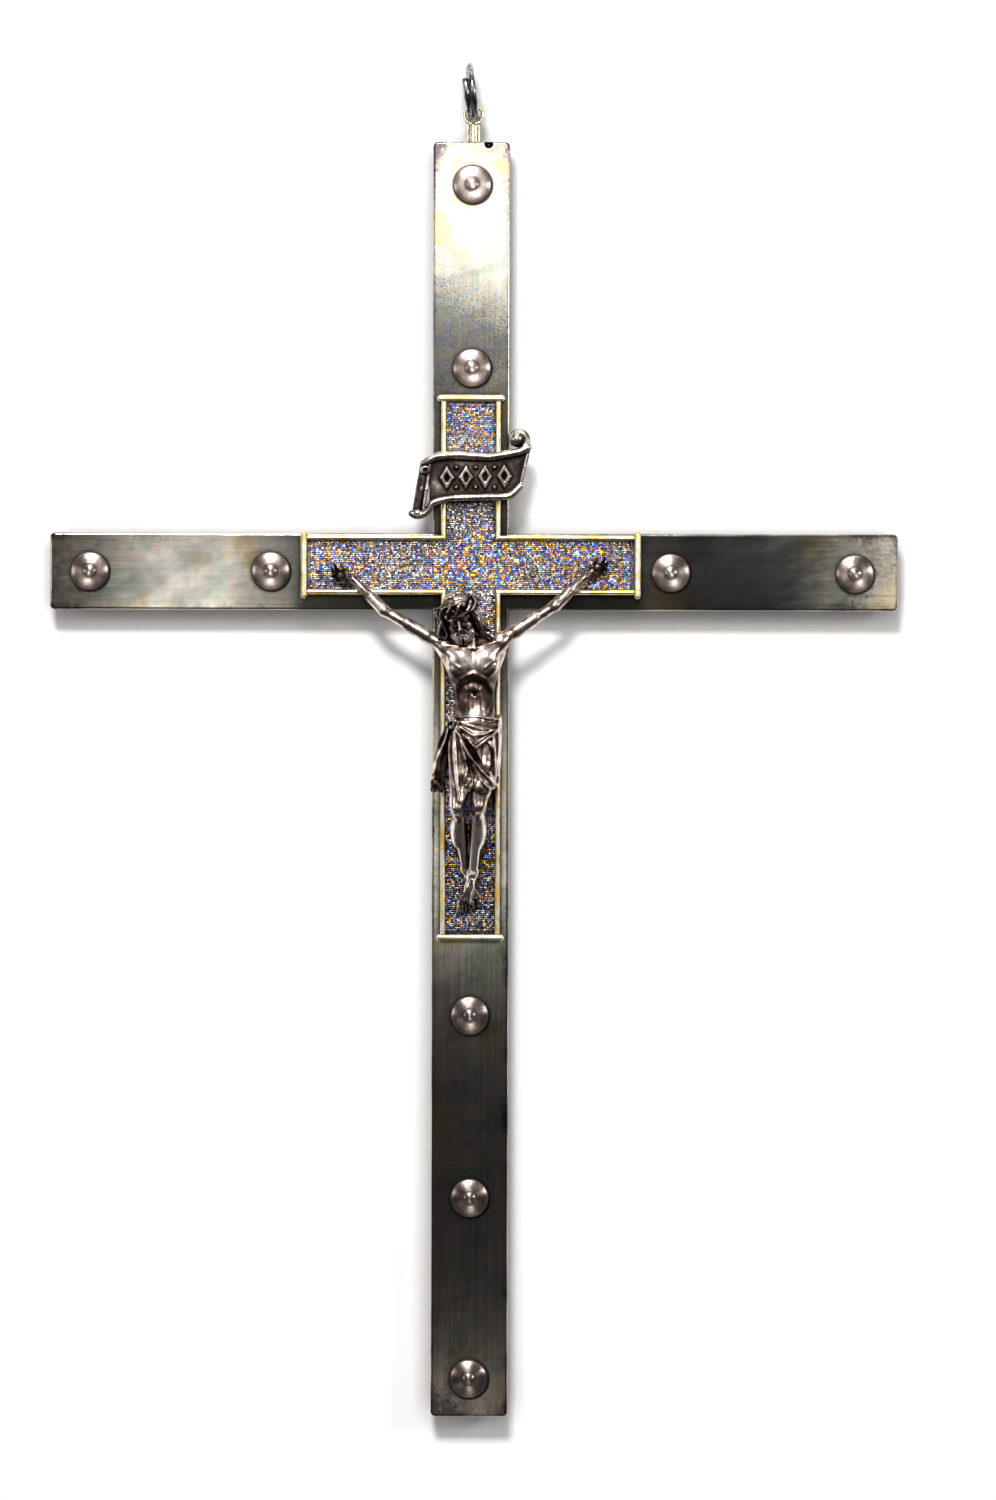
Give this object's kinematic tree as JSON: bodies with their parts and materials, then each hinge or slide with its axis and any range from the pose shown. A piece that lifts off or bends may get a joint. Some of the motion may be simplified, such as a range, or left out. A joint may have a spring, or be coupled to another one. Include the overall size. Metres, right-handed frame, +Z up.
{
  "type": "processional cross",
  "caption": "Flat-bar metal cross with turned studs and an applied framed crucifix: hatched field, scroll and cast figure, hung from a loose split ring in an eye at the top.",
  "frame": {"origin": "on the back face, at the centre of the crossing", "axes": "+Z up along the upright, +X to the viewer's right, +Y out of the back face into the wall"},
  "size_m": [0.276, 0.0299, 0.4412],
  "materials": {
    "bar_metal": "flat bar, brushed along its length, tarnished and scratched",
    "stud_metal": "turned, warm grey, with concentric tool marks",
    "field_metal": "finely cross-hatched, with thin rainbow tarnish",
    "moulding_metal": "polished crest, dark tarnish along the foot",
    "scroll_metal": "cast, dark in its hollows, polished on its rims",
    "figure_metal": "cast, polished by handling, dark tarnish in its folds",
    "nail_metal": "blackened",
    "eye_metal": "pale brass, satin",
    "ring_metal": "drawn steel wire, bright",
    "fastener_metal": "dull"
  },
  "bodies": {
    "cross": {"upright_bar": "bar_metal", "cross_bar": "bar_metal", "lap_rivets": "fastener_metal", "plate_screws": "fastener_metal", "crucifix_plate": "field_metal", "scroll": "scroll_metal", "corpus": "figure_metal", "hanging_eye": "eye_metal", "stud_top_outer": "stud_metal", "stud_top_inner": "stud_metal", "stud_left_outer": "stud_metal", "stud_left_inner": "stud_metal", "stud_right_inner": "stud_metal", "stud_right_outer": "stud_metal", "stud_foot_upper": "stud_metal", "stud_foot_middle": "stud_metal", "stud_foot_lower": "stud_metal", "bead_upper_left": "moulding_metal", "bead_upper_right": "moulding_metal", "bead_lower_left": "moulding_metal", "bead_lower_right": "moulding_metal", "end_bar_top": "moulding_metal", "end_bar_foot": "moulding_metal", "end_bar_left": "moulding_metal", "end_bar_right": "moulding_metal", "nail_left_hand": "nail_metal", "nail_right_hand": "nail_metal", "nail_feet": "nail_metal"},
    "ring": {"hanging_ring": "ring_metal"}
  },
  "joints": [
    {"name": "ring_swing", "type": "hinge", "parent": "cross", "child": "ring", "pos_m": [0.0005, -0.003, 0.1491], "axis": [0, 1, 0], "range_deg": [-110, 120]}
  ]
}
